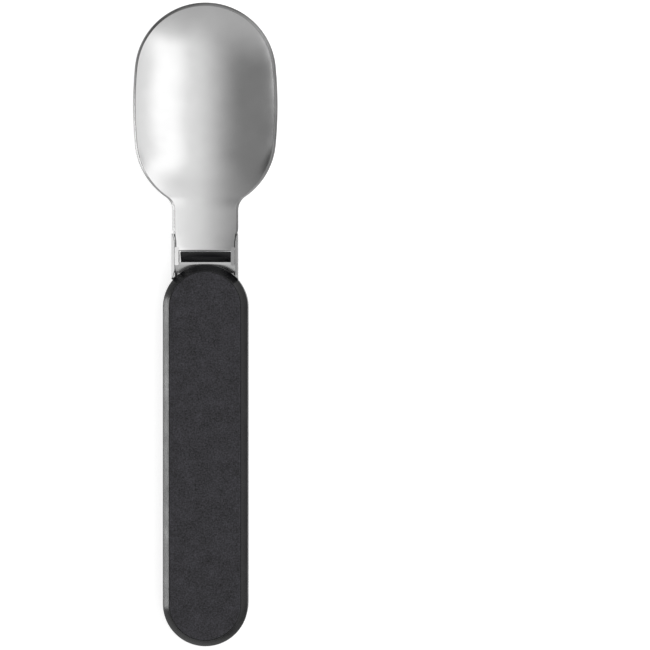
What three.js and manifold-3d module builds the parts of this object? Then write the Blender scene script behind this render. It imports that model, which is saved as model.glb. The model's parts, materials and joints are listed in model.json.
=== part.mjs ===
// A folding spoon: a steel bowl that turns in a steel yoke at the end of a black two-part handle.
// Millimetres. The spoon lies open on its back: +Y runs from the handle to the bowl's tip, +Z is up,
// and the origin is the middle of the handle's flat underside.
import * as THREE from 'three';
import { mergeVertices } from 'three/addons/utils/BufferGeometryUtils.js';
import Module from 'manifold-3d';

const wasm = await Module();
wasm.setup();

// Handle
const handleLength = 93.5;
const handleWidth = 20.9;
const handleThickness = 8.0;
const partingHeight = 4.6;
const coverBevel = 1.7;
const baseBevel = 1.2;
const panelThickness = 1.0;
const panelProud = 0.25;
const panelEdge = 0.2;
const shellWall = 2.4;
const baseFloor = 1.6;
const coverRoof = 1.0;

// Bowl and neck
const bowlEndRadius = 17.35;
const bowlEndSpacing = 16.0;
const bowlSideBulge = 0.39;
const bowlSheet = 1.0;
const rimHeight = 7.2;
const neckWidth = 16.2;
const neckFillet = 3.9;
const neckRiseStart = 3.6;
const neckRise = 16.0;
const neckDepth = 0.9;
const neckEndBend = 1.8;
const neckEndTilt = 45;
const neckLength = 11.4;
const joggleStart = 3.4;
const joggleEnd = 7.0;

// Hinge
const pivotPastHandle = 1.95;
const foldClearance = 0.4;
const slotLength = 2.7;
const yokeSheet = 0.7;
const yokeBendInside = 0.3;
const yokeEarInnerRadius = 3.8;
const yokeEarOuterRadius = 5.6;
const yokeEarLand = 0.18;
const yokeFlangeDrop = 0.2;
const earCrown = 1.7;
const neckEarRadius = 2.2;
const neckEarLeg = 1.0;
const washerThickness = 0.2;
const washerRadius = 1.7;
const rivetRadius = 0.9;
const rivetSinkRadius = 1.35;
const rivetSinkDepth = 0.35;
const tongueSideGap = 0.1;
const tongueUnderside = 1.2;
const tongueRecess = 0.9;

// Tang and screws
const tangWidth = 10.0;
const tangLength = 38.0;
const yokeInHandle = 6.0;
const ledgeReach = 1.5;
const screwRadius = 1.1;
const screwHeadRadius = 2.1;
const screwHeadHeight = 1.2;
const screwSink = 0.3;
const screwTipCover = 0.65;
const screwSlotWidth = 0.6;
const screwSlotDepth = 0.6;
const screwSlotLength = 2.5;
const bossWall = 0.5;
const screwCount = 4;
const screwFromHingeEnd = 11.0;
const screwFromTailEnd = 5.9;

// Clearances
const runningGap = 0.05;
const washerGap = 0.025;
const earGap = 0.06;
const seatGap = 0.1;
const stopGap = 0.05;
const tangGap = 0.2;
const skin = 0.03;
const overcut = 1.0;
const mergeDistance = 1e-4;

// Facets
const roundSteps = 24;
const arcSteps = 20;
const bendSteps = 6;
const profileSteps = 10;
const fanSteps = 12;
const straightSteps = 4;
const neckSteps = 40;

// Places worked out from the sizes above
const handleEnd = handleLength / 2;
const pivotY = handleEnd + pivotPastHandle;
const pivotZ = (rimHeight + handleThickness + foldClearance) / 2;
const coverTop = handleThickness - panelProud;
const panelBottom = handleThickness - panelThickness;
const panelInset = coverBevel + seatGap;
const floorEndY = pivotY + slotLength / 2;
const webEdgeY = pivotY - slotLength / 2;
const webBottom = partingHeight - yokeSheet;
const neckFloorHeight = rimHeight - neckDepth;
const yokeHalf = neckWidth / 2;
const yokeEarInner = yokeHalf - yokeSheet;
const washerInner = yokeEarInner - washerGap - washerThickness;
const neckEarOuter = yokeEarInner - earGap;
const neckEarInner = neckEarOuter - bowlSheet;
const filletX = neckWidth / 2 + neckFillet;
const filletY = pivotY + neckLength;
const lowerArcY = filletY + Math.sqrt((bowlEndRadius + neckFillet) ** 2 - filletX ** 2);
const upperArcY = lowerArcY + bowlEndSpacing;
const endReach = bowlEndSpacing / 2;
const sideArcOver = (endReach ** 2 + bowlSideBulge ** 2) / (2 * bowlSideBulge);
const sideArcRadius = bowlEndRadius + sideArcOver;
const sideArcX = bowlSideBulge - sideArcOver;
const sideArcY = lowerArcY + endReach;
const yokeStartY = handleEnd - yokeInHandle;
const tangEndY = yokeStartY - tangLength;
const tongueHalf = neckEarInner - tongueSideGap;
const screwSpacing = (handleLength - screwFromHingeEnd - screwFromTailEnd) / (screwCount - 1);
const screwPlaces = [...Array(screwCount).keys()];
const screwYs = screwPlaces.map((place) => handleEnd - screwFromHingeEnd - screwSpacing * place);
const bossRadius = screwHeadRadius + seatGap + bossWall;
const screwShoulder = screwSink + screwHeadHeight;
const screwTip = panelBottom - screwTipCover;

const steel = { color: 0xb9bbbd, roughness: 0.22, metalness: 1.0 };
const blackPlastic = { color: 0x1b1b1d, roughness: 0.45, metalness: 0.0 };
const grainedPlastic = { color: 0x2a2a2c, roughness: 0.7, metalness: 0.0 };
const washerPlastic = { color: 0xd8d4c8, roughness: 0.5, metalness: 0.0 };

function toSolid(geometry) {
  const bare = geometry.clone();
  bare.deleteAttribute('normal');
  bare.deleteAttribute('uv');
  const merged = mergeVertices(bare, mergeDistance);
  return new wasm.Manifold(new wasm.Mesh({
    numProp: 3,
    vertProperties: new Float32Array(merged.attributes.position.array),
    triVerts: new Uint32Array(merged.index.array),
  }));
}

function toGeometry(solid) {
  const mesh = solid.getMesh();
  const geometry = new THREE.BufferGeometry();
  geometry.setAttribute('position', new THREE.BufferAttribute(mesh.vertProperties, 3));
  geometry.setIndex(new THREE.BufferAttribute(mesh.triVerts, 1));
  geometry.computeVertexNormals();
  return geometry;
}

function makePiece(name, solid, look) {
  const mesh = new THREE.Mesh(toGeometry(solid), new THREE.MeshStandardMaterial(look));
  mesh.name = name;
  return mesh;
}

function joinAll(solids) {
  return solids.reduce((whole, solid) => whole.add(solid));
}

function cutAll(body, cutters) {
  return cutters.reduce((rest, cutter) => rest.subtract(cutter), body);
}

// A box given by its lowest and highest corners.
function box(low, high) {
  const size = high.map((value, axis) => value - low[axis]);
  const middle = high.map((value, axis) => (value + low[axis]) / 2);
  return toSolid(new THREE.BoxGeometry(...size).translate(...middle));
}

// A slab wider and longer than the handle.
function slab(bottom, top) {
  return box([-handleWidth, -handleLength, bottom], [handleWidth, handleLength, top]);
}

// A round body turned about the line through (x, y) along Z, from [radius, height] pairs.
function turnedAlongZ(profile, x, y) {
  const points = profile.map(([radius, height]) => new THREE.Vector2(radius, height));
  return toSolid(new THREE.LatheGeometry(points, roundSteps).rotateX(Math.PI / 2).translate(x, y, 0));
}

// A round body turned about the hinge axis, from [radius, distance from the middle] pairs.
function turnedOnPivot(profile, side) {
  const points = profile.map(([radius, distance]) => new THREE.Vector2(radius, distance));
  const turned = new THREE.LatheGeometry(points, roundSteps).rotateZ(-side * Math.PI / 2);
  return toSolid(turned.translate(0, pivotY, pivotZ));
}

function cylinderAlongZ(radius, low, high, y) {
  return turnedAlongZ([[0, low], [radius, low], [radius, high], [0, high]], 0, y);
}

function cylinderOnPivot(radius, inner, outer, side) {
  return turnedOnPivot([[0, inner], [radius, inner], [radius, outer], [0, outer]], side);
}

// A flat outline in the Y-Z plane, given as a Shape of (y, z), made solid between two values of x.
function sidePlate(shape, lowX, highX) {
  const options = { depth: highX - lowX, bevelEnabled: false, curveSegments: arcSteps };
  const plate = new THREE.ExtrudeGeometry(shape, options);
  const toRowAxes = new THREE.Matrix4().set(0, 0, 1, lowX, 1, 0, 0, 0, 0, 1, 0, 0, 0, 0, 0, 1);
  return toSolid(plate.applyMatrix4(toRowAxes));
}

// The handle's outline: straight sides and two half-round ends, moved in by an inset.
function stadium(inset) {
  const radius = handleWidth / 2 - inset;
  const centre = handleEnd - handleWidth / 2;
  const shape = new THREE.Shape();
  shape.absarc(0, centre, radius, 0, Math.PI, false);
  shape.absarc(0, -centre, radius, Math.PI, 2 * Math.PI, false);
  shape.closePath();
  return shape;
}

function stadiumBlock(inset, bottom, top, bevel) {
  const options = {
    depth: top - bottom - 2 * bevel,
    bevelEnabled: bevel > 0,
    bevelThickness: bevel,
    bevelSize: bevel,
    bevelSegments: 1,
    curveSegments: arcSteps,
  };
  const block = new THREE.ExtrudeGeometry(stadium(inset + bevel), options);
  return toSolid(block.translate(0, 0, bottom + bevel));
}

function smoothStep(start, end, value) {
  const share = Math.min(Math.max((value - start) / (end - start), 0), 1);
  return share * share * (3 - 2 * share);
}

// Half the width of the stamping, seen from above, at a place along it below the bowl's tip arc: a long side
// arc that runs into the bowl's round lower end, a fillet, and the neck with its step in to the ears.
function halfWidth(y) {
  const sideArcLength = endReach * sideArcRadius / sideArcOver;
  if (y >= sideArcY - sideArcLength) {
    return sideArcX + Math.sqrt(sideArcRadius ** 2 - (y - sideArcY) ** 2);
  }
  const tangentY = lowerArcY - (lowerArcY - filletY) * bowlEndRadius / (bowlEndRadius + neckFillet);
  if (y >= tangentY) {
    return Math.sqrt(bowlEndRadius ** 2 - (y - lowerArcY) ** 2);
  }
  if (y >= filletY) {
    return filletX - Math.sqrt(neckFillet ** 2 - (y - filletY) ** 2);
  }
  const joggle = smoothStep(joggleStart, joggleEnd, y - pivotY);
  return neckEarOuter + (neckWidth / 2 - neckEarOuter) * joggle;
}

// How far the rim is from the middle of the tip arc, in a direction turned up from straight across.
function tipReach(turn) {
  if (turn >= Math.asin(endReach / sideArcOver)) {
    return bowlEndRadius;
  }
  const along = endReach * Math.sin(turn) - sideArcX * Math.cos(turn);
  return Math.sqrt(along ** 2 + sideArcRadius ** 2 - sideArcX ** 2 - endReach ** 2) - along;
}

// How far the neck's last stretch has turned down toward the slot.
function neckEndDrop(y) {
  const past = Math.max(floorEndY + neckEndBend - y, 0);
  const radius = neckEndBend / Math.sin(THREE.MathUtils.degToRad(neckEndTilt));
  return radius - Math.sqrt(radius ** 2 - past ** 2);
}

// Height of the inner surface along the middle: level in the bowl, then rising in an even curve to the neck.
function innerFloor(y) {
  const start = lowerArcY - neckRiseStart;
  const risen = smoothStep(start, start - neckRise, y);
  return THREE.MathUtils.lerp(bowlSheet, neckFloorHeight, risen) - neckEndDrop(y);
}

// One line across the sheet, from the middle out to the rim. The inner and outer surfaces share its form.
function sheetLine(station, outer) {
  const { midY, reachX, reachY, fullWidth } = station;
  const floorIn = innerFloor(midY);
  const tilt = 2 * Math.atan((rimHeight - floorIn) / fullWidth);
  const width = outer ? fullWidth : fullWidth - bowlSheet * Math.sin(tilt);
  const floor = outer ? floorIn - bowlSheet : floorIn;
  const rim = outer ? rimHeight - bowlSheet * Math.cos(tilt) : rimHeight;
  const line = [];
  for (let step = 0; step <= profileSteps; step += 1) {
    const turn = tilt * step / profileSteps;
    const across = width * Math.sin(turn) / Math.sin(tilt);
    const up = (1 - Math.cos(turn)) / (1 - Math.cos(tilt));
    line.push([across * reachX, midY + across * reachY, floor + (rim - floor) * up]);
  }
  return line;
}

// The places where the sheet is measured, from the neck's end up the right side to the tip.
function sheetStations() {
  const stations = [];
  for (let step = 0; step < neckSteps; step += 1) {
    const y = floorEndY + (lowerArcY - floorEndY) * step / neckSteps;
    stations.push({ midY: y, reachX: 1, reachY: 0, fullWidth: halfWidth(y) });
  }
  for (let step = 0; step < straightSteps; step += 1) {
    const y = lowerArcY + bowlEndSpacing * step / straightSteps;
    stations.push({ midY: y, reachX: 1, reachY: 0, fullWidth: halfWidth(y) });
  }
  for (let step = 0; step <= fanSteps; step += 1) {
    const turn = step / fanSteps * Math.PI / 2;
    const reachX = step === fanSteps ? 0 : Math.cos(turn);
    const fullWidth = tipReach(turn);
    stations.push({ midY: upperArcY, reachX, reachY: Math.sin(turn), fullWidth });
  }
  return stations;
}

// The bowl and neck as one closed sheet: an inner and an outer skin, joined at the rim and at the neck's end.
function stampedSheet() {
  const right = sheetStations();
  const left = right.slice(0, -1).reverse().map((station) => ({ ...station, reachX: -station.reachX }));
  const stations = [...right, ...left];
  const inner = stations.map((station) => sheetLine(station, false));
  const outer = stations.map((station) => sheetLine(station, true));
  const corners = [];
  const addFace = (a, b, c, d) => corners.push(a, b, c, a, c, d);
  const last = stations.length - 1;
  for (let k = 0; k < last; k += 1) {
    for (let i = 0; i < profileSteps; i += 1) {
      addFace(inner[k][i], inner[k][i + 1], inner[k + 1][i + 1], inner[k + 1][i]);
      addFace(outer[k][i], outer[k + 1][i], outer[k + 1][i + 1], outer[k][i + 1]);
    }
    const rim = profileSteps;
    addFace(inner[k][rim], outer[k][rim], outer[k + 1][rim], inner[k + 1][rim]);
  }
  for (let i = 0; i < profileSteps; i += 1) {
    addFace(inner[0][i], outer[0][i], outer[0][i + 1], inner[0][i + 1]);
    addFace(inner[last][i], inner[last][i + 1], outer[last][i + 1], outer[last][i]);
  }
  const geometry = new THREE.BufferGeometry();
  geometry.setAttribute('position', new THREE.Float32BufferAttribute(corners.flat(), 3));
  return toSolid(dropFlatFaces(mergeVertices(geometry, mergeDistance)));
}

// Removes the triangles that closed up to a line where the lines of the sheet meet in one point.
function dropFlatFaces(geometry) {
  const index = geometry.index.array;
  const kept = [];
  for (let i = 0; i < index.length; i += 3) {
    const [a, b, c] = index.slice(i, i + 3);
    if (a !== b && b !== c && c !== a) {
      kept.push(a, b, c);
    }
  }
  geometry.setIndex(kept);
  return geometry;
}

// The neck's ear: a round lug about the hinge axis with a flat crown and a leg down into the neck's edge.
function neckEar(side) {
  const legY = floorEndY + skin;
  const legBottom = rimHeight - neckEarLeg;
  const legTurn = Math.acos((legY - pivotY) / neckEarRadius);
  const crownTurn = Math.asin(earCrown / neckEarRadius);
  const shape = new THREE.Shape();
  shape.moveTo(legY, legBottom);
  shape.lineTo(pivotY + neckEarRadius, legBottom);
  shape.lineTo(pivotY + neckEarRadius, pivotZ);
  shape.absarc(pivotY, pivotZ, neckEarRadius, 0, crownTurn, false);
  shape.absarc(pivotY, pivotZ, neckEarRadius, Math.PI - crownTurn, 2 * Math.PI - legTurn, false);
  shape.closePath();
  const faces = [side * (neckEarInner + skin), side * (neckEarOuter - skin)].sort((a, b) => a - b);
  return sidePlate(shape, ...faces);
}

// The stamping with its ears. Each ear has a hole sunk for the rivet inside and for the washer outside.
function spoonBowl() {
  const whole = joinAll([stampedSheet(), neckEar(1), neckEar(-1)]);
  const hole = (side) => turnedOnPivot([
    [0, neckEarInner - overcut],
    [rivetSinkRadius + runningGap, neckEarInner - overcut],
    [rivetSinkRadius + runningGap, neckEarInner],
    [rivetRadius + runningGap, neckEarInner + rivetSinkDepth],
    [rivetRadius + runningGap, washerInner - washerGap],
    [washerRadius + seatGap, washerInner - washerGap],
    [washerRadius + seatGap, neckEarOuter + overcut],
    [0, neckEarOuter + overcut],
  ], side);
  return cutAll(whole, [hole(1), hole(-1)]);
}

// The yoke's section across: a flat web with its two sides bent up, high enough for the ears.
function yokeSection() {
  const top = pivotZ + earCrown + overcut;
  const innerBend = yokeBendInside;
  const outerBend = yokeBendInside + yokeSheet;
  const shape = new THREE.Shape();
  shape.moveTo(yokeHalf, top);
  shape.lineTo(yokeEarInner, top);
  shape.lineTo(yokeEarInner, partingHeight + innerBend);
  shape.absarc(yokeEarInner - innerBend, partingHeight + innerBend, innerBend, 0, -Math.PI / 2, true);
  shape.lineTo(-yokeEarInner + innerBend, partingHeight);
  shape.absarc(-yokeEarInner + innerBend, partingHeight + innerBend, innerBend, -Math.PI / 2, -Math.PI, true);
  shape.lineTo(-yokeEarInner, top);
  shape.lineTo(-yokeHalf, top);
  shape.absarc(-yokeHalf + outerBend, webBottom + outerBend, outerBend, Math.PI, 1.5 * Math.PI, false);
  shape.absarc(yokeHalf - outerBend, webBottom + outerBend, outerBend, -Math.PI / 2, 0, false);
  shape.closePath();
  return shape;
}

// The yoke seen from the side, without its ears: the web and the flanges beside it.
function flangeSide() {
  const shape = new THREE.Shape();
  shape.moveTo(yokeStartY, webBottom - overcut);
  shape.lineTo(webEdgeY, webBottom - overcut);
  shape.lineTo(webEdgeY, pivotZ - yokeFlangeDrop);
  shape.lineTo(yokeStartY, pivotZ - yokeFlangeDrop);
  shape.closePath();
  return shape;
}

// The yoke's ears seen from the side, before their round ends: a flat crown, and an underside that rises.
function yokeEarSide() {
  const shape = new THREE.Shape();
  shape.moveTo(pivotY - yokeEarOuterRadius, webBottom);
  shape.lineTo(webEdgeY, webBottom);
  shape.lineTo(pivotY + yokeEarOuterRadius, pivotZ - yokeEarInnerRadius / 2);
  shape.lineTo(pivotY + yokeEarOuterRadius, pivotZ + earCrown);
  shape.lineTo(pivotY - yokeEarOuterRadius, pivotZ + earCrown);
  shape.closePath();
  return shape;
}

// The round of an ear, wider on its outside, so that the neck's step in to its ears turns past it.
function yokeEarRound(side) {
  return turnedOnPivot([
    [0, yokeEarInner - skin],
    [yokeEarInnerRadius, yokeEarInner - skin],
    [yokeEarInnerRadius, yokeEarInner],
    [yokeEarOuterRadius, yokeHalf - yokeEarLand],
    [yokeEarOuterRadius, yokeHalf + overcut],
    [0, yokeHalf + overcut],
  ], side);
}

function hingeYoke() {
  const frontY = pivotY + yokeEarOuterRadius + overcut;
  const reach = yokeHalf + overcut;
  const options = { depth: frontY - yokeStartY, bevelEnabled: false, curveSegments: bendSteps };
  const channel = new THREE.ExtrudeGeometry(yokeSection(), options).rotateX(Math.PI / 2);
  const channelSolid = toSolid(channel.translate(0, frontY, 0));
  const ears = sidePlate(yokeEarSide(), -reach, reach).intersect(yokeEarRound(1).add(yokeEarRound(-1)));
  const outline = sidePlate(flangeSide(), -reach, reach).add(ears);
  const slot = box([-yokeEarInner, webEdgeY, webBottom - overcut], [yokeEarInner, frontY, 2 * pivotZ]);
  const buried = stadiumBlock(-seatGap, partingHeight, 2 * handleThickness, 0);
  const channelCut = cutAll(channelSolid.intersect(outline), [slot, buried]);
  const tangHalf = tangWidth / 2;
  const tang = box([-tangHalf, tangEndY, webBottom], [tangHalf, yokeStartY + yokeSheet, partingHeight]);
  const pivotHole = (side) => turnedOnPivot([
    [0, yokeEarInner - overcut],
    [rivetRadius + runningGap, yokeEarInner - overcut],
    [rivetRadius + runningGap, yokeHalf - rivetSinkDepth],
    [rivetSinkRadius + runningGap, yokeHalf],
    [rivetSinkRadius + runningGap, yokeHalf + overcut],
    [0, yokeHalf + overcut],
  ], side);
  const screwHole = (y) => cylinderAlongZ(
    screwRadius + tangGap,
    webBottom - overcut,
    partingHeight + overcut,
    y,
  );
  return cutAll(channelCut.add(tang), [pivotHole(1), pivotHole(-1), ...screwYs.map(screwHole)]);
}

// A stub rivet: a plain shank with a sunk head at each end, flush with the neck's ear and the yoke's ear.
function pivotRivet(side) {
  return turnedOnPivot([
    [0, neckEarInner],
    [rivetSinkRadius, neckEarInner],
    [rivetRadius, neckEarInner + rivetSinkDepth],
    [rivetRadius, yokeHalf - rivetSinkDepth],
    [rivetSinkRadius, yokeHalf],
    [0, yokeHalf],
  ], side);
}

function frictionWasher(side) {
  const outer = washerInner + washerThickness;
  const disc = cylinderOnPivot(washerRadius, washerInner, outer, side);
  const hole = cylinderOnPivot(rivetRadius + runningGap, washerInner - overcut, outer + overcut, side);
  return disc.subtract(hole);
}

// The stop tongue seen from the side: a bar under the yoke's web that ends in a wedge in the slot.
function tongueSide() {
  const frontY = floorEndY - stopGap;
  const wedgeY = webEdgeY + stopGap;
  const wedgeTop = neckFloorHeight - tongueRecess;
  const barTop = webBottom - stopGap;
  const shape = new THREE.Shape();
  shape.moveTo(yokeStartY, tongueUnderside);
  shape.lineTo(frontY, tongueUnderside);
  shape.lineTo(frontY, wedgeTop);
  shape.lineTo(wedgeY, barTop);
  shape.lineTo(yokeStartY, barTop);
  shape.closePath();
  return shape;
}

// The lower shell: a tray with screw bosses, a seat for the yoke's web, and the stop tongue in the slot.
function handleBase() {
  const outside = stadiumBlock(0, 0, partingHeight + 2 * baseBevel, baseBevel);
  const above = slab(partingHeight, 2 * handleThickness);
  const hollow = stadiumBlock(shellWall, baseFloor, partingHeight + overcut, 0);
  const bosses = screwYs.map((y) => cylinderAlongZ(bossRadius, baseFloor / 2, partingHeight, y));
  const seatHalf = yokeHalf + tangGap;
  const ledgeStartY = yokeStartY - ledgeReach;
  const ledge = box([-seatHalf, ledgeStartY, baseFloor / 2], [seatHalf, handleEnd, webBottom]);
  const ledgeRoom = stadiumBlock(shellWall / 2, 0, partingHeight, 0);
  const seatTop = partingHeight + overcut;
  const seatFront = handleEnd + overcut;
  const yokeSeat = box([-seatHalf, yokeStartY - tangGap, webBottom], [seatHalf, seatFront, seatTop]);
  const tangHalf = tangWidth / 2 + tangGap;
  const tangSeat = box([-tangHalf, tangEndY - tangGap, webBottom], [tangHalf, yokeStartY, seatTop]);
  const shell = cutAll(outside, [above, hollow]);
  const filled = joinAll([shell, ...bosses, ledge.intersect(ledgeRoom)]);
  const holes = screwYs.flatMap((y) => [
    cylinderAlongZ(screwRadius + runningGap, -overcut, partingHeight + overcut, y),
    cylinderAlongZ(screwHeadRadius + seatGap, -overcut, screwShoulder, y),
  ]);
  const tongue = sidePlate(tongueSide(), -tongueHalf, tongueHalf);
  const body = cutAll(filled, [yokeSeat, tangSeat]);
  return cutAll(body.add(tongue), holes);
}

// The upper shell: bevelled all round, hollow below, with a shallow recess for the grip panel.
function handleCover() {
  const outside = stadiumBlock(0, partingHeight - 2 * coverBevel, coverTop, coverBevel);
  const below = slab(-handleThickness, partingHeight);
  const hollow = stadiumBlock(shellWall, partingHeight - overcut, panelBottom - coverRoof, 0);
  const recess = stadiumBlock(coverBevel, panelBottom, handleThickness + overcut, 0);
  const bossTop = panelBottom - coverRoof / 2;
  const bosses = screwYs.map((y) => cylinderAlongZ(bossRadius, partingHeight, bossTop, y));
  const screwHole = (y) => cylinderAlongZ(
    screwRadius + runningGap,
    partingHeight - overcut,
    screwTip + runningGap,
    y,
  );
  const shell = cutAll(outside, [below, hollow, recess]);
  return cutAll(joinAll([shell, ...bosses]), screwYs.map(screwHole));
}

function gripPanel() {
  return stadiumBlock(panelInset, panelBottom, handleThickness, panelEdge);
}

function handleScrew(y) {
  const body = turnedAlongZ([
    [0, screwSink],
    [screwHeadRadius, screwSink],
    [screwHeadRadius, screwShoulder],
    [screwRadius, screwShoulder],
    [screwRadius, screwTip],
    [0, screwTip],
  ], 0, y);
  const half = screwSlotWidth / 2;
  const arm = screwSlotLength / 2;
  const slotTop = screwSink + screwSlotDepth;
  const across = box([-arm, y - half, 0], [arm, y + half, slotTop]);
  const along = box([-half, y - arm, 0], [half, y + arm, slotTop]);
  return cutAll(body, [across, along]);
}

const spoon = new THREE.Group();
spoon.add(makePiece('spoon_bowl', spoonBowl(), steel));
spoon.add(makePiece('hinge_yoke', hingeYoke(), steel));
spoon.add(makePiece('pivot_rivet_left', pivotRivet(-1), steel));
spoon.add(makePiece('pivot_rivet_right', pivotRivet(1), steel));
spoon.add(makePiece('friction_washer_left', frictionWasher(-1), washerPlastic));
spoon.add(makePiece('friction_washer_right', frictionWasher(1), washerPlastic));
spoon.add(makePiece('handle_base', handleBase(), blackPlastic));
spoon.add(makePiece('handle_cover', handleCover(), blackPlastic));
spoon.add(makePiece('grip_panel', gripPanel(), grainedPlastic));
screwYs.forEach((y, place) => {
  spoon.add(makePiece(`handle_screw_${place + 1}`, handleScrew(y), steel));
});

export default spoon;
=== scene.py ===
"""Looks of a folding spoon: a polished steel bowl that folds in a steel yoke on a black grained handle.

Metres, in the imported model's frame: +Y runs from the handle to the bowl's tip, +Z is up, and the spoon lies
open on its back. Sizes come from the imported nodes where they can, and are named below where they can't.
"""
import json
import math

import bmesh
import bpy
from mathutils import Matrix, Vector
from mathutils.geometry import delaunay_2d_cdt


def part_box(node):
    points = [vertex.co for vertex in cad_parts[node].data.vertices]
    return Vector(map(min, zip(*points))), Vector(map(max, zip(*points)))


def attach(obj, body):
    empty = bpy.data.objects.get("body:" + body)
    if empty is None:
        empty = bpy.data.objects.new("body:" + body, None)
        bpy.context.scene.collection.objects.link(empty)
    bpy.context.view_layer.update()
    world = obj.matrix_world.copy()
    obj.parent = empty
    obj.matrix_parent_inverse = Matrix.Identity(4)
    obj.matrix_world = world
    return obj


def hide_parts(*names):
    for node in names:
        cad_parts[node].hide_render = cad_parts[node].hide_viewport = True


MM = 0.001

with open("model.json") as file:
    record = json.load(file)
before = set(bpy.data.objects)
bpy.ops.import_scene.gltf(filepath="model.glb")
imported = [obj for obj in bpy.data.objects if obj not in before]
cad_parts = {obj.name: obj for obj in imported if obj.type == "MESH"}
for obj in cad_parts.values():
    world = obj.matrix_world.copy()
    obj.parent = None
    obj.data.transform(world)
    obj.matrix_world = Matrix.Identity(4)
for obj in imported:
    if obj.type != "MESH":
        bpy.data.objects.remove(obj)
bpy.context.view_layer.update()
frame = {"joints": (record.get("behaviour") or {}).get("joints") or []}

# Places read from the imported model
hinge = frame["joints"][0]
pivot = Vector(hinge["pos_m"])
_, bowl_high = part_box("spoon_bowl")
yoke_low, yoke_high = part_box("hinge_yoke")
washer_low, washer_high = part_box("friction_washer_right")
cover_low, cover_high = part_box("handle_cover")
panel_low, panel_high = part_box("grip_panel")
screw_names = [f"handle_screw_{place}" for place in (1, 2, 3, 4)]
screw_low, screw_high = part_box(screw_names[0])
sides = {"left": -1, "right": 1}

# Bowl and neck
BOWL_SHEET = 1.0 * MM
BOWL_END_SPACING = 16.0 * MM
BOWL_SIDE_BULGE = 0.39 * MM
RIM_HEIGHT = 7.2 * MM
NECK_FILLET = 3.9 * MM
SHOULDER_EASE = 0.16
SHOULDER_REACH = 4.5 * MM
NECK_RISE_START = 3.4 * MM
NECK_RISE = 15.0 * MM
NECK_DEPTH = 0.9 * MM
JOGGLE_START = 3.4 * MM
JOGGLE_END = 7.0 * MM
NECK_END_ROUND = 0.3 * MM
NECK_END_BEND = 1.8 * MM
NECK_END_TILT = math.radians(24)
RIM_TILT_SIDE = math.radians(43)
RIM_TILT_TIP = math.radians(32)
RIM_EDGE = 0.12 * MM
RIM_FACE_SIDE = 0.66 * MM
RIM_FACE_TIP = 0.95 * MM
RIM_FACE_EARS = 0.15 * MM

# Hinge
SLOT_LENGTH = 2.7 * MM
YOKE_SHEET = 0.7 * MM
YOKE_BEND_INSIDE = 0.5 * MM
YOKE_EAR_INNER_RADIUS = 3.8 * MM
YOKE_EAR_OUTER_RADIUS = 5.6 * MM
YOKE_EAR_LAND = 0.18 * MM
YOKE_FLANGE_DROP = 0.2 * MM
YOKE_EDGE = 0.1 * MM
WEB_CREST = 0.8 * MM
WEB_LAND = 0.45 * MM
WEB_ROUND = 1.2 * MM
WEB_FALL = math.tan(math.radians(21))
YOKE_IN_HANDLE = 6.0 * MM
TANG_WIDTH = 10.0 * MM
EAR_CROWN = 1.7 * MM
EAR_CROWN_SLOPE = math.tan(math.radians(11))
EAR_GAP = 0.06 * MM
NECK_EAR_RADIUS = 2.2 * MM
NECK_EAR_LEG = 1.0 * MM
NECK_EAR_EDGE = 0.12 * MM
WASHER_GAP = 0.025 * MM
WASHER_RADIUS = 1.4 * MM
RIVET_RADIUS = 0.9 * MM
RIVET_SINK_RADIUS = 1.35 * MM
RIVET_SINK_DEPTH = 0.35 * MM
RIVET_EDGE = 0.06 * MM
TONGUE_SIDE_GAP = 0.1 * MM
TONGUE_UNDERSIDE = 1.2 * MM
TONGUE_RECESS = 0.45 * MM
TONGUE_EDGE = 0.2 * MM

# Handle
SHELL_WALL = 2.4 * MM
BASE_FLOOR = 1.6 * MM
COVER_ROOF = 1.0 * MM
BASE_BEVEL = 1.2 * MM
COVER_BEVEL = 1.6 * MM
COVER_BEVEL_SLOPE = math.radians(41.5)
COVER_LAND_EDGE = 0.03 * MM
COVER_RECESS = 1.7 * MM
PANEL_EDGE = 0.2 * MM
SEAM_ROUND = 0.12 * MM
WALL_ROUND = 0.5 * MM
INNER_ROUND = 0.15 * MM
CAP_MARGIN = 0.3 * MM
LEDGE_REACH = 1.5 * MM
SINK_MARK_RADIUS = 1.7 * MM
SINK_MARK_WIDTH = 0.45 * MM
SINK_MARK_DEPTH = 0.02 * MM
SINK_MARK_FADE = 3

# Screws
SCREW_RADIUS = 1.1 * MM
SCREW_HEAD_HEIGHT = 1.2 * MM
SCREW_SLOT_WIDTH = 0.6 * MM
SCREW_SLOT_DEPTH = 0.6 * MM
SCREW_SLOT_LENGTH = 2.5 * MM
SCREW_HEAD_EDGE = 0.25 * MM
SCREW_TIP_EDGE = 0.2 * MM
BOSS_WALL = 0.5 * MM

# Clearances
RUNNING_GAP = 0.05 * MM
SEAT_GAP = 0.1 * MM
STOP_GAP = 0.05 * MM
TANG_GAP = 0.2 * MM
SKIN = 0.03 * MM
OVERCUT = 1.0 * MM

# Facets
END_STEPS = 72
ROUND_STEPS = 64
ROUND_TURNS = [2 * math.pi * k / ROUND_STEPS for k in range(ROUND_STEPS)]
CORNER_STEPS = 6
PROFILE_STEPS = 44
NECK_STEPS = 110
SIDE_STEPS = 24
FAN_STEPS = 56
EDGE_STEPS = 3
SINK_MARK_CIRCLES = 16
ROUND_CAP_SHARE = 0.25
MITRE_LIMIT = 0.5
SHARP_ANGLE = math.radians(32)
MERGE_DISTANCE = 1e-7
SHORTEST_EDGE = 1e-8
TRIANGLES_INSIDE = 1

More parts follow.
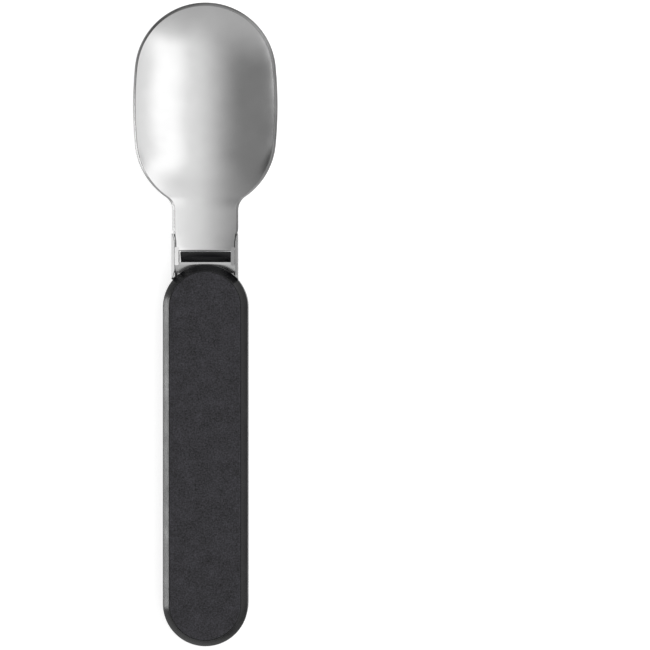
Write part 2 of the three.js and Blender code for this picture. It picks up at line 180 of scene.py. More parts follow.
# Surfaces: noises, then each material's colours, roughness and relief. A pair goes from least to most.
NOISE_SPAN = (0.3, 0.7)
NOISE_DETAIL = 3.0
NOISE_ROUGHNESS = 0.5
GRAIN_ROUGHNESS = 0.6
CLOUD_GRAIN = 7 * MM
LINE_WIDTH = 0.05 * MM
LINE_LENGTH = 6 * MM
LINE_DEPTH = 0.001 * MM
BOWL_LINE_DEPTH = 0.0006 * MM
BOWL_GREYS = (0.62, 0.67)
BOWL_ROUGHNESS = (0.16, 0.22)
# The rim's steel greys are far darker than the bowl's: painted shade for the dark reflection along the ground
# rim.
RIM_PAINTED_SHADE_GREYS = (0.24, 0.29)
RIM_ROUGHNESS = (0.26, 0.34)
HINGE_GREYS = (0.54, 0.60)
HINGE_ROUGHNESS = (0.24, 0.31)
FASTENER_GREYS = (0.52, 0.60)
FASTENER_ROUGHNESS = (0.25, 0.35)
SHELL_DARK = (0.006, 0.006, 0.007)
SHELL_LIGHT = (0.010, 0.010, 0.011)
SHELL_ROUGHNESS = (0.20, 0.28)
SHELL_HAZE_GRAIN = 5 * MM
SHELL_HAZE_DETAIL = 4.0
SHELL_RIPPLE_GRAIN = 0.9 * MM
SHELL_RIPPLE_DEPTH = 0.004 * MM
GRIP_DARK = (0, 0, 0)
GRIP_LIGHT = (0.052, 0.050, 0.060)
GRIP_ROUGHNESS = (0.5, 0.75)
GRIP_SPECULAR = 0.36
GRIP_DETAIL = 2.0
GRIP_FINE_GRAIN = 0.16 * MM
GRIP_FINE_DEPTH = 0.03 * MM
GRIP_COARSE_GRAIN = 0.36 * MM
GRIP_COARSE_DEPTH = 0.05 * MM
GRIP_COARSE_SHARE = 0.78
GRIP_BLOTCH_GRAIN = 3.0 * MM
GRIP_BLOTCH_SHARE = 0.22
WASHER_DARK = (0.70, 0.68, 0.62)
WASHER_LIGHT = (0.78, 0.76, 0.70)
WASHER_ROUGHNESS = (0.4, 0.55)
WASHER_HAZE_GRAIN = 0.6 * MM

# Camera and floor
PHOTO_PIXELS = 650
PIXEL_SIZE = 0.245 * MM
PHOTO_PLANE = 6.0 * MM
CAMERA_X = 29.28 * MM
CAMERA_Y = 31.95 * MM
CAMERA_HEIGHT = 480 * MM
CAMERA_SENSOR = 36
CAMERA_NEAR = 10 * MM
CAMERA_FAR = 20
FLOOR_HALF = 3.0
FLOOR_COLOUR = (0.65, 0.65, 0.65)
FLOOR_GLOW = 0.68

# Strip light
STRIP_DISTANCE = 400 * MM
STRIP_LENGTH = 262 * MM
STRIP_HEIGHT = 36 * MM
STRIP_LEVEL = 26 * MM
STRIP_Y = 1 * MM
STRIP_RADIANCE = 12.0
QUARTER_TURN = math.radians(90)

# Studio: light levels, and the spans of a direction's x (across), y (along) or z over which they change
WHITE = (1, 1, 1, 1)
ROOM_LEFT = 0.27
ROOM_RIGHT = 1.08
ROOM_NEAR = 0.62
ROOM_ACROSS = (-0.7, 0.25)
ROOM_ALONG = (-0.88, -0.38)
LIFT_LEVEL = 0.3
LIFT_ACROSS = (-0.8, -0.2)
LIFT_ALONG = (-0.7, 0.1)
PANEL_LEVEL = 0.48
PANEL_LEFT = (0.2, 0.55)
PANEL_RIGHT = (0.72, 0.92)
PANEL_NEAR = (-0.62, -0.35)
PANEL_FAR = (0.6, 0.9)
DARK_LEVEL = 0.12
DARK_SIDES = (0.1, 0.22)
DARK_NEAR_END = (0.2, 0.32)
DARK_FAR_END = (0.32, 0.42)
DARK_ALONG = (0, 0.5)
DARK_LENGTHWISE = (0.3, 0.7)

# Places worked out from the sizes above
handle_half = cover_high.x
handle_end = cover_high.y
end_centre = handle_end - handle_half
parting = cover_low.z
slot_start = pivot.y - SLOT_LENGTH / 2
slot_end = pivot.y + SLOT_LENGTH / 2
web_bottom = parting - YOKE_SHEET
yoke_half = yoke_high.x
yoke_ear_inner = yoke_half - YOKE_SHEET
yoke_start = handle_end - YOKE_IN_HANDLE
neck_half = yoke_half
neck_ear_outer = yoke_ear_inner - EAR_GAP
neck_ear_inner = neck_ear_outer - BOWL_SHEET
tongue_half = neck_ear_inner - TONGUE_SIDE_GAP
neck_floor = RIM_HEIGHT - NECK_DEPTH
boss_radius = screw_high.x + SEAT_GAP + BOSS_WALL
screw_shoulder = screw_low.z + SCREW_HEAD_HEIGHT
bowl_end_radius = bowl_high.x - BOWL_SIDE_BULGE
upper_arc_y = bowl_high.y - bowl_end_radius
lower_arc_y = upper_arc_y - BOWL_END_SPACING
end_reach = BOWL_END_SPACING / 2
side_arc_over = (end_reach ** 2 + BOWL_SIDE_BULGE ** 2) / (2 * BOWL_SIDE_BULGE)
side_arc_radius = bowl_end_radius + side_arc_over
side_arc_x = BOWL_SIDE_BULGE - side_arc_over
side_arc_y = lower_arc_y + end_reach
fillet_x = neck_half + NECK_FILLET
fillet_reach = bowl_end_radius + NECK_FILLET
fillet_y = lower_arc_y - math.sqrt(fillet_reach ** 2 - fillet_x ** 2)
shoulder_y = lower_arc_y - (lower_arc_y - fillet_y) * bowl_end_radius / fillet_reach


# Mesh helpers

def add_object(name, data):
    thing = bpy.data.objects.new(name, data)
    bpy.context.scene.collection.objects.link(thing)
    return thing


def mesh_object(name, vertices, faces, marked=()):
    """A closed mesh with its faces turned outward. The marked faces take the second material."""
    mesh = bpy.data.meshes.new(name)
    mesh.from_pydata(vertices, [], faces)
    for place in marked:
        mesh.polygons[place].material_index = 1
    form = bmesh.new()
    form.from_mesh(mesh)
    bmesh.ops.remove_doubles(form, verts=form.verts, dist=MERGE_DISTANCE)
    bmesh.ops.dissolve_degenerate(form, edges=form.edges, dist=SHORTEST_EDGE)
    bmesh.ops.recalc_face_normals(form, faces=form.faces)
    form.to_mesh(mesh)
    form.free()
    return add_object(name, mesh)


def shade(piece):
    """Smooth shading, with the true edges kept sharp."""
    mesh = piece.data
    mesh.shade_smooth()
    mesh.set_sharp_from_angle(angle=SHARP_ANGLE)
    return piece


def settle(target):
    """Turns the object's modifier into its mesh."""
    graph = bpy.context.evaluated_depsgraph_get()
    made = bpy.data.meshes.new_from_object(target.evaluated_get(graph))
    target.modifiers.clear()
    old = target.data
    target.data = made
    bpy.data.meshes.remove(old)
    return target


def combine(target, tool, operation):
    """Changes the target by a solid operation with the tool, and deletes the tool."""
    step = target.modifiers.new("combine", "BOOLEAN")
    step.operation = operation
    step.solver = "EXACT"
    step.object = tool
    settle(target)
    bpy.data.objects.remove(tool)
    return target


def join(target, tool):
    return combine(target, tool, "UNION")


def cut(target, tool):
    return combine(target, tool, "DIFFERENCE")


def keep_common(target, tool):
    return combine(target, tool, "INTERSECT")


def ease_edges(target, width):
    """Rounds the true edges of a finished form."""
    step = target.modifiers.new("ease", "BEVEL")
    step.width = width
    step.segments = EDGE_STEPS
    step.limit_method = "ANGLE"
    step.angle_limit = SHARP_ANGLE
    return settle(target)


def even_normals(target):
    """Lets the broad faces keep their own direction in the smooth shading."""
    step = target.modifiers.new("normals", "WEIGHTED_NORMAL")
    step.keep_sharp = True
    return settle(target)


def rounded_path(corners, steps=CORNER_STEPS):
    """A line of (u, v, radius) corners, each corner with a radius turned into an arc."""
    path = []
    for place, (u, v, radius) in enumerate(corners):
        here = Vector((u, v))
        if radius == 0:
            path.append(here)
            continue
        back = (Vector(corners[place - 1][:2]) - here).normalized()
        ahead = (Vector(corners[(place + 1) % len(corners)][:2]) - here).normalized()
        half_angle = back.angle(ahead) / 2
        centre = here + (back + ahead).normalized() * radius / math.sin(half_angle)
        setback = radius / math.tan(half_angle)
        first = (here + back * setback - centre).normalized()
        last = (here + ahead * setback - centre).normalized()
        for step in range(steps + 1):
            path.append(centre + first.slerp(last, step / steps) * radius)
    return path


def ring_faces(rows, count):
    """Four-sided faces between neighbouring rings, for so many rings of so many points each."""
    faces = []
    for row in range(rows - 1):
        start = row * count
        for k in range(count):
            after = (k + 1) % count
            faces.append((start + k, start + after, start + count + after, start + count + k))
    return faces


def loft(name, rings):
    """A closed body through rings of as many points each, with a flat cap on the first and the last."""
    count = len(rings[0])
    vertices = [point for ring in rings for point in ring]
    caps = [list(range(count)), [len(vertices) - count + k for k in range(count)]]
    return mesh_object(name, vertices, caps + ring_faces(len(rings), count))


def stadium_ring(inset, z):
    """The handle's outline moved in by an inset: straight sides and two half-round ends."""
    radius = handle_half - inset
    ring = []
    for end in (1, -1):
        for step in range(END_STEPS + 1):
            turn = math.pi * step / END_STEPS
            x = radius * math.cos(turn)
            y = end_centre + radius * math.sin(turn)
            ring.append(Vector((end * x, end * y, z)))
    return ring


def stadium_body(name, corners):
    """A body of the handle's outline, from (inset, height, radius) corners."""
    return loft(name, [stadium_ring(inset, z) for inset, z in rounded_path(corners)])


def turned(name, profile, place):
    """A round body from (radius, distance) points. The place puts (across, across, along) in the frame."""
    rings = []
    for radius, distance in profile:
        ring = [place(radius * math.cos(turn), radius * math.sin(turn), distance) for turn in ROUND_TURNS]
        rings.append(ring)
    return loft(name, rings)


def on_pivot(side):
    """Puts a turned body on the hinge axis, with its distance counted from the middle out to one side."""
    return lambda a, b, along: Vector((side * along, pivot.y + a, pivot.z + b))


def upright(x, y):
    """Puts a turned body on an upright axis, with its distance as the height."""
    return lambda a, b, along: Vector((x + a, y + b, along))


def cylinder(name, radius, low, high, place):
    return turned(name, [(radius, low), (radius, high)], place)


def box(name, low, high):
    corners = [(x, y, z) for z in (low[2], high[2]) for y in (low[1], high[1]) for x in (low[0], high[0])]
    faces = [(0, 2, 3, 1), (4, 5, 7, 6), (0, 1, 5, 4), (2, 6, 7, 3), (0, 4, 6, 2), (1, 3, 7, 5)]
    return mesh_object(name, corners, faces)


def arc(centre, radius, start, end, steps):
    """Points of an arc in the Y-Z plane, as (y, z)."""
    turns = [start + (end - start) * step / steps for step in range(steps + 1)]
    return [(centre[0] + radius * math.cos(turn), centre[1] + radius * math.sin(turn)) for turn in turns]


def shrunk(outline, inset):
    """A closed outline moved in by an inset, corner by corner."""
    if inset == 0:
        return outline
    area = sum(a[0] * b[1] - b[0] * a[1] for a, b in zip(outline, outline[1:] + outline[:1]))
    turn = 1 if area > 0 else -1
    moved = []
    for place, point in enumerate(outline):
        here = Vector(point)
        back = (here - Vector(outline[place - 1])).normalized()
        ahead = (Vector(outline[(place + 1) % len(outline)]) - here).normalized()
        inward = Vector((-back.y - ahead.y, back.x + ahead.x)).normalized() * turn
        moved.append(here + inward * inset / max(math.cos(back.angle(ahead) / 2), MITRE_LIMIT))
    return [tuple(point) for point in moved]


def side_plate(name, outline, low_x, high_x, edge=0):
    """A flat outline of (y, z) points made solid between two values of x, with its outer edges eased."""
    rows = [(low_x, 0), (high_x, 0)]
    if edge:
        rows = [(low_x, edge), (low_x + edge, 0), (high_x - edge, 0), (high_x, edge)]
    rings = [[Vector((x, y, z)) for y, z in shrunk(outline, inset)] for x, inset in rows]
    return loft(name, rings)


# Bowl

def mix(a, b, share):
    return a + (b - a) * share


def smooth_step(start, end, value):
    share = min(max((value - start) / (end - start), 0), 1)
    return share * share * (3 - 2 * share)


def half_width(y):
    """Half the width of the stamping seen from above: side arc, round lower end, fillet, neck."""
    if y >= side_arc_y - end_reach * side_arc_radius / side_arc_over:
        return side_arc_x + math.sqrt(side_arc_radius ** 2 - (y - side_arc_y) ** 2)
    if y >= shoulder_y:
        return math.sqrt(bowl_end_radius ** 2 - (y - lower_arc_y) ** 2)
    if y >= fillet_y:
        return fillet_x - math.sqrt(NECK_FILLET ** 2 - (y - fillet_y) ** 2)
    return mix(neck_ear_outer, neck_half, smooth_step(JOGGLE_START, JOGGLE_END, y - pivot.y))


def tip_reach(turn):
    """How far the rim is from the middle of the tip arc, in a direction turned up from straight across."""
    if turn >= math.asin(end_reach / side_arc_over):
        return bowl_end_radius
    along = end_reach * math.sin(turn) - side_arc_x * math.cos(turn)
    return math.sqrt(along ** 2 + side_arc_radius ** 2 - side_arc_x ** 2 - end_reach ** 2) - along


def neck_end_drop(y):
    """How far the neck's last stretch has turned down toward the slot."""
    past = max(slot_end + NECK_END_BEND - y, 0)
    radius = NECK_END_BEND / math.sin(NECK_END_TILT)
    return radius - math.sqrt(radius ** 2 - past ** 2)


def inner_floor(y):
    """Height of the inner surface along the middle: level in the bowl, then rising to the neck."""
    start = lower_arc_y - NECK_RISE_START
    risen = smooth_step(start, start - NECK_RISE, y)
    return mix(BOWL_SHEET, neck_floor, risen) - neck_end_drop(y)


def shoulder_share(y):
    """How far the wall levels off before the rim: most at the shoulders, and fading out on both sides."""
    away = (y - shoulder_y) / SHOULDER_REACH
    return SHOULDER_EASE * math.exp(-away * away)


def skin_line(width, floor, rim, tilt, reach, levelled):
    """One skin of the sheet from the middle out to a reach, as (across, height) points.

    It is an arc from floor to rim, blended by the levelled share with a curve that ends level.
    """
    last_turn = math.asin(math.sin(tilt) * reach / width)
    line = []
    for step in range(PROFILE_STEPS + 1):
        turn = last_turn * step / PROFILE_STEPS
        share = math.sin(turn) / math.sin(tilt)
        round_up = (1 - math.cos(turn)) / (1 - math.cos(tilt))
        level_up = share ** 2 * (2 - share ** 2)
        line.append((width * share, mix(floor, rim, mix(round_up, level_up, levelled))))
    return line


def sheet_section(mid_y, reach_x, reach_y, width, thinned):
    """The sheet's whole section at a station: inner skin, ground rim with eased edges, outer skin.

    It runs from the middle at mid_y along the direction (reach_x, reach_y), as far as the width. Where the
    neck's end is rounded, each skin draws in by the thinned amount.
    """
    floor = inner_floor(mid_y)
    tilt = 2 * math.atan((RIM_HEIGHT - floor) / width)
    inner_width = width - BOWL_SHEET * math.sin(tilt)
    outer_rim = RIM_HEIGHT - BOWL_SHEET * math.cos(tilt)
    by_ears = 1 - smooth_step(JOGGLE_START, JOGGLE_END, mid_y - pivot.y)
    face = mix(mix(RIM_FACE_SIDE, RIM_FACE_TIP, reach_y), RIM_FACE_EARS, by_ears)
    face_start = min(width - face, inner_width)
    levelled = shoulder_share(mid_y)
    inner = skin_line(inner_width, floor - thinned, RIM_HEIGHT - thinned, tilt, face_start, levelled)
    outer_floor = floor - BOWL_SHEET + thinned
    outer = skin_line(width, outer_floor, outer_rim + thinned / 2, tilt, width - thinned, levelled)
    inner_rim = inner[-1]
    outer_reach = outer[-1][0]
    ground_drop = (outer_reach - inner_rim[0]) * math.tan(mix(RIM_TILT_SIDE, RIM_TILT_TIP, reach_y))
    ground = (outer_reach, max(inner_rim[1] - ground_drop, outer[-1][1]))
    corners = [inner[-2] + (0,), inner_rim + (RIM_EDGE,), ground + (RIM_EDGE,), outer[-2] + (0,)]
    section = inner[:-1] + [tuple(point) for point in rounded_path(corners)[1:-1]] + outer[-2::-1]
    return [Vector((across * reach_x, mid_y + across * reach_y, height)) for across, height in section]


def sheet_stations():
    """Where the sheet is measured, from the neck's end up the right side to the tip and down the left."""
    right = []
    for step in range(CORNER_STEPS):
        turn = step / CORNER_STEPS * math.pi / 2
        y = slot_end + NECK_END_ROUND * (1 - math.cos(turn))
        right.append((y, 1, 0, half_width(y), NECK_END_ROUND * (1 - math.sin(turn))))
    neck = (slot_end + NECK_END_ROUND, lower_arc_y, NECK_STEPS)
    side = (lower_arc_y, upper_arc_y, SIDE_STEPS)
    for start, end, steps in (neck, side):
        for step in range(steps):
            y = mix(start, end, step / steps)
            right.append((y, 1, 0, half_width(y), 0))
    for step in range(FAN_STEPS):
        turn = step / FAN_STEPS * math.pi / 2
        right.append((upper_arc_y, math.cos(turn), math.sin(turn), tip_reach(turn), 0))
    tip = (upper_arc_y, 0, 1, bowl_end_radius, 0)
    left = [(mid_y, -reach_x, *rest) for mid_y, reach_x, *rest in reversed(right)]
    return right + [tip] + left


def stamped_sheet():
    """Bowl and neck as one closed sheet, with its ground rim marked for the second material, a darker steel
    that paints shade on the rim.
    """
    sections = [sheet_section(*station) for station in sheet_stations()]
    count = len(sections[0])
    vertices = [point for section in sections for point in section]
    faces = []
    rim_faces = []
    for row in range(len(sections) - 1):
        start = row * count
        for k in range(count - 1):
            if PROFILE_STEPS <= k < count - PROFILE_STEPS - 1:
                rim_faces.append(len(faces))
            faces.append((start + k, start + k + 1, start + count + k + 1, start + count + k))
    half = count // 2
    last = len(vertices) - count
    for start in (0, last):
        for k in range(half):
            mirror = count - 1 - k
            faces.append((start + k, start + k + 1, start + mirror - 1, start + mirror))
    return mesh_object("spoon_bowl_polished", vertices, faces, rim_faces)


def above_crown(side):
    """What is cut off over a pair of ears, so that their crowns fall a little toward the middle."""
    reach = YOKE_EAR_OUTER_RADIUS + OVERCUT
    rows = []
    for x in (neck_ear_inner - OVERCUT, yoke_half + OVERCUT):
        low = pivot.z + EAR_CROWN - EAR_CROWN_SLOPE * (yoke_half - x)
        corners = [(-reach, low), (reach, low), (reach, low + reach), (-reach, low + reach)]
        rows.append([Vector((side * x, pivot.y + along, z)) for along, z in corners])
    return loft("above_crown", rows)


def neck_ear(side):
    """A lug round below the hinge axis and square above, with a leg down into the neck's edge."""
    leg_y = slot_end + SKIN
    leg_bottom = RIM_HEIGHT - NECK_EAR_LEG
    leg_turn = math.acos((leg_y - pivot.y) / NECK_EAR_RADIUS)
    crown = pivot.z + EAR_CROWN
    front = pivot.y + NECK_EAR_RADIUS
    back = pivot.y - NECK_EAR_RADIUS
    outline = [(leg_y, leg_bottom), (front, leg_bottom), (front, crown), (back, crown)]
    outline += arc((pivot.y, pivot.z), NECK_EAR_RADIUS, math.pi, 2 * math.pi - leg_turn, ROUND_STEPS)
    faces = sorted((side * (neck_ear_inner + SKIN), side * (neck_ear_outer - SKIN)))
    ear = side_plate("neck_ear", outline, *faces, edge=NECK_EAR_EDGE)
    return cut(ear, above_crown(side))


def spoon_bowl(surface, rim):
    """The stamping with its ears, each with a hole sunk for the rivet inside and for the washer outside."""
    piece = stamped_sheet()
    piece.data.materials.append(surface)
    piece.data.materials.append(rim)
    washer_seat = washer_low.x - WASHER_GAP
    seat_radius = WASHER_RADIUS + SEAT_GAP
    hole = [
        (RIVET_SINK_RADIUS + RUNNING_GAP, neck_ear_inner - OVERCUT),
        (RIVET_SINK_RADIUS + RUNNING_GAP, neck_ear_inner),
        (RIVET_RADIUS + RUNNING_GAP, neck_ear_inner + RIVET_SINK_DEPTH),
        (RIVET_RADIUS + RUNNING_GAP, washer_seat),
        (seat_radius, washer_seat),
        (seat_radius, neck_ear_outer + OVERCUT),
    ]
    for side in sides.values():
        join(piece, neck_ear(side))
        cut(piece, turned("ear_hole", hole, on_pivot(side)))
    return shade(piece)


# Hinge

def yoke_section():
    """The yoke's section across, as (x, z): a flat web with its two sides bent up."""
    top = pivot.z + EAR_CROWN + OVERCUT
    outer_bend = YOKE_BEND_INSIDE + YOKE_SHEET
    corners = [
        (yoke_half, top, 0),
        (yoke_ear_inner, top, 0),
        (yoke_ear_inner, parting, YOKE_BEND_INSIDE),
        (-yoke_ear_inner, parting, YOKE_BEND_INSIDE),
        (-yoke_ear_inner, top, 0),
        (-yoke_half, top, 0),
        (-yoke_half, web_bottom, outer_bend),
        (yoke_half, web_bottom, outer_bend),
    ]
    return rounded_path(corners, 2 * CORNER_STEPS)


def yoke_flanges():
    """What the yoke's web and the flanges beside it keep of the channel."""
    reach = yoke_half + OVERCUT
    flange_top = pivot.z - YOKE_FLANGE_DROP
    outline = [
        (yoke_start, web_bottom - OVERCUT),
        (slot_start, web_bottom - OVERCUT),
        (slot_start, flange_top),
        (yoke_start, flange_top),
    ]
    return side_plate("yoke_flanges", outline, -reach, reach)


def yoke_ear(side):
    """What an ear keeps of the channel: flat crowned, with its round wider on the outside than the inside."""
    crown = pivot.z + EAR_CROWN
    outline = [
        (pivot.y - YOKE_EAR_OUTER_RADIUS, web_bottom),
        (slot_start, web_bottom),
        (pivot.y + YOKE_EAR_OUTER_RADIUS, pivot.z - YOKE_EAR_INNER_RADIUS / 2),
        (pivot.y + YOKE_EAR_OUTER_RADIUS, crown),
        (pivot.y - YOKE_EAR_OUTER_RADIUS, crown),
    ]
    profile = [
        (YOKE_EAR_INNER_RADIUS, yoke_ear_inner - SKIN),
        (YOKE_EAR_INNER_RADIUS, yoke_ear_inner),
        (YOKE_EAR_OUTER_RADIUS, yoke_half - YOKE_EAR_LAND),
        (YOKE_EAR_OUTER_RADIUS, yoke_half + OVERCUT),
    ]
    reach = yoke_half + 2 * OVERCUT
    ear = turned("yoke_ear", profile, on_pivot(side))
    keep_common(ear, side_plate("yoke_ear_side", outline, -reach, reach))
    return cut(ear, above_crown(side))


def web_crest():
    """The web's edge along the slot: a narrow land that falls away toward the handle."""
    crest = parting + WEB_CREST
    bottom = web_bottom + YOKE_SHEET / 2
    land_end = slot_start - WEB_LAND
    fall_end = land_end - (crest - bottom) / WEB_FALL
    outline = [
        (slot_start, bottom, 0),
        (slot_start, crest, 0),
        (land_end, crest, WEB_ROUND),
        (fall_end, bottom, 0),
    ]
    points = [tuple(point) for point in rounded_path(outline)]
    return side_plate("web_crest", points, -yoke_ear_inner, yoke_ear_inner)


def hinge_yoke():
    """The fork, bent from one sheet: web, flanges, two ears with rivet holes, and a tang for the screws."""
    front = pivot.y + YOKE_EAR_OUTER_RADIUS + OVERCUT
    over_ears = 2 * pivot.z
    section = yoke_section()
    rows = [[Vector((x, y, z)) for x, z in section] for y in (yoke_start, front)]
    piece = loft("hinge_yoke_formed", rows)
    kept = yoke_flanges()
    for side in sides.values():
        join(kept, yoke_ear(side))
    keep_common(piece, kept)
    cut(piece, box("slot", (-yoke_ear_inner, slot_start, 0), (yoke_ear_inner, front, over_ears)))
    cut(piece, stadium_body("buried", [(-SEAT_GAP, parting, 0), (-SEAT_GAP, over_ears, 0)]))
    join(piece, web_crest())
    tang_half = TANG_WIDTH / 2
    tang_top = (tang_half, yoke_start + YOKE_SHEET, parting)
    join(piece, box("tang", (-tang_half, yoke_low.y, web_bottom), tang_top))
    sink = [
        (RIVET_RADIUS + RUNNING_GAP, yoke_ear_inner - OVERCUT),
        (RIVET_RADIUS + RUNNING_GAP, yoke_half - RIVET_SINK_DEPTH),
        (RIVET_SINK_RADIUS + RUNNING_GAP, yoke_half),
        (RIVET_SINK_RADIUS + RUNNING_GAP, yoke_half + OVERCUT),
    ]
    for side in sides.values():
        cut(piece, turned("rivet_hole", sink, on_pivot(side)))
    reach = (web_bottom - OVERCUT, parting + OVERCUT)
    for name in screw_names:
        cut(piece, cylinder("screw_hole", SCREW_RADIUS + TANG_GAP, *reach, at_screw(name)))
    return even_normals(shade(ease_edges(piece, YOKE_EDGE)))


def pivot_rivet(name, side):
    """A stub rivet with a sunk head at each end, flush with the neck's ear and the yoke's ear."""
    cap_radius = RIVET_SINK_RADIUS * ROUND_CAP_SHARE
    profile = rounded_path([
        (cap_radius, neck_ear_inner, 0),
        (RIVET_SINK_RADIUS, neck_ear_inner, RIVET_EDGE),
        (RIVET_RADIUS, neck_ear_inner + RIVET_SINK_DEPTH, 0),
        (RIVET_RADIUS, yoke_half - RIVET_SINK_DEPTH, 0),
        (RIVET_SINK_RADIUS, yoke_half, RIVET_EDGE),
        (cap_radius, yoke_half, 0),
    ])
    return shade(turned(name + "_turned", profile, on_pivot(side)))


def friction_washer(name, side):
    """A thin washer: a closed ring turned about the hinge axis."""
    place = on_pivot(side)
    piece = cylinder(name + "_cut", WASHER_RADIUS, washer_low.x, washer_high.x, place)
    reach = (washer_low.x - OVERCUT, washer_high.x + OVERCUT)
    return shade(cut(piece, cylinder("washer_hole", RIVET_RADIUS + RUNNING_GAP, *reach, place)))


# Handle

def screw_y(name):
    low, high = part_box(name)
    return (low.y + high.y) / 2


def at_screw(name):
    """Puts a turned body on a screw's axis."""
    return upright(0, screw_y(name))


def tongue_outline():
    """The stop tongue seen from the side: a bar under the yoke's web that ends in a wedge in the slot."""
    front = slot_end - STOP_GAP
    bar_top = web_bottom - STOP_GAP
    corners = [
        (yoke_start, TONGUE_UNDERSIDE, 0),
        (front, TONGUE_UNDERSIDE, 2 * TONGUE_EDGE),
        (front, neck_floor - TONGUE_RECESS, TONGUE_EDGE),
        (slot_start + STOP_GAP, bar_top, 0),
        (yoke_start, bar_top, 0),
    ]
    return [tuple(point) for point in rounded_path(corners)]


def handle_base():
    """The lower shell: a tray with screw bosses, a seat for the yoke and the stop tongue."""
    piece = stadium_body("handle_base_moulded", [
        (SHELL_WALL + CAP_MARGIN, BASE_FLOOR, 0),
        (SHELL_WALL, BASE_FLOOR, INNER_ROUND),
        (SHELL_WALL, parting, 0),
        (0, parting, SEAM_ROUND),
        (0, BASE_BEVEL, WALL_ROUND),
        (BASE_BEVEL, 0, WALL_ROUND),
        (BASE_BEVEL + CAP_MARGIN, 0, 0),
    ])
    for name in screw_names:
        join(piece, cylinder("boss", boss_radius, BASE_FLOOR / 2, parting, at_screw(name)))
    seat_half = yoke_half + TANG_GAP
    ledge_start = yoke_start - LEDGE_REACH
    ledge = box("ledge", (-seat_half, ledge_start, BASE_FLOOR / 2), (seat_half, handle_end, web_bottom))
    room = [(SHELL_WALL / 2, 0, 0), (SHELL_WALL / 2, parting, 0)]
    join(piece, keep_common(ledge, stadium_body("ledge_room", room)))
    seat_top = parting + OVERCUT
    seat_end = (seat_half, handle_end + OVERCUT, seat_top)
    cut(piece, box("yoke_seat", (-seat_half, yoke_start - TANG_GAP, web_bottom), seat_end))
    tang_half = TANG_WIDTH / 2 + TANG_GAP
    tang_start = (-tang_half, yoke_low.y - TANG_GAP, web_bottom)
    cut(piece, box("tang_seat", tang_start, (tang_half, yoke_start, seat_top)))
    join(piece, side_plate("tongue", tongue_outline(), -tongue_half, tongue_half, edge=TONGUE_EDGE))
    for name in screw_names:
        place = at_screw(name)
        cut(piece, cylinder("shank_hole", SCREW_RADIUS + RUNNING_GAP, -OVERCUT, parting + OVERCUT, place))
        cut(piece, cylinder("head_hole", boss_radius - BOSS_WALL, -OVERCUT, screw_shoulder, place))
    return shade(piece)


def handle_cover():
    """The upper shell: a smooth bevel all round, a recess for the grip panel, hollow below."""
    hollow_top = panel_low.z - COVER_ROOF
    bevel_start = cover_high.z - COVER_BEVEL * math.tan(COVER_BEVEL_SLOPE)
    piece = stadium_body("handle_cover_moulded", [
        (SHELL_WALL + CAP_MARGIN, hollow_top, 0),
        (SHELL_WALL, hollow_top, INNER_ROUND),
        (SHELL_WALL, parting, 0),
        (0, parting, SEAM_ROUND),
        (0, bevel_start, WALL_ROUND),
        (COVER_BEVEL, cover_high.z, COVER_LAND_EDGE),
        (COVER_RECESS, cover_high.z, COVER_LAND_EDGE),
        (COVER_RECESS, panel_low.z, 0),
        (COVER_RECESS + CAP_MARGIN, panel_low.z, 0),
    ])
    hole_top = screw_high.z + RUNNING_GAP
    for name in screw_names:
        place = at_screw(name)
        join(piece, cylinder("boss", boss_radius, parting, hollow_top + COVER_ROOF / 2, place))
        cut(piece, cylinder("shank_hole", SCREW_RADIUS + RUNNING_GAP, parting - OVERCUT, hole_top, place))
    return shade(piece)


def sink_mark_height(distance):
    """A shallow ring in the panel over a screw boss."""
    share = (distance - SINK_MARK_RADIUS) / SINK_MARK_WIDTH
    return -SINK_MARK_DEPTH * math.exp(-share * share)


def grip_panel():
    """The grained panel: a flat plate with round ends and eased edges.

    Its top is triangulated, with circles of points for the sink mark over the last screw.
    """
    inset = handle_half - panel_high.x
    rings = [stadium_ring(depth, z) for depth, z in rounded_path([
        (inset + CAP_MARGIN, panel_low.z, 0),
        (inset, panel_low.z, 0),
        (inset, panel_high.z, PANEL_EDGE),
        (inset + 2 * PANEL_EDGE, panel_high.z, 0),
    ])]
    count = len(rings[0])
    vertices = [point for ring in rings for point in ring]
    faces = [list(range(count))] + ring_faces(len(rings), count)
    mark_y = screw_y(screw_names[-1])
    flat = [point.xy for point in rings[-1]]
    edges = [(k, (k + 1) % count) for k in range(count)]
    reach = SINK_MARK_RADIUS + SINK_MARK_FADE * SINK_MARK_WIDTH
    for circle in range(1, SINK_MARK_CIRCLES + 1):
        radius = reach * circle / SINK_MARK_CIRCLES
        first = len(flat)
        for k, turn in enumerate(ROUND_TURNS):
            flat.append(Vector((radius * math.cos(turn), mark_y + radius * math.sin(turn))))
            edges.append((first + k, first + (k + 1) % ROUND_STEPS))
    points, _, triangles, *_ = delaunay_2d_cdt(flat, edges, [], TRIANGLES_INSIDE, MERGE_DISTANCE)
    first = len(vertices)
    for point in points:
        distance = (point - Vector((0, mark_y))).length
        vertices.append(Vector((point.x, point.y, panel_high.z + sink_mark_height(distance))))
    faces += [tuple(first + k for k in triangle) for triangle in triangles]
    return shade(mesh_object("grip_panel_grained", vertices, faces))


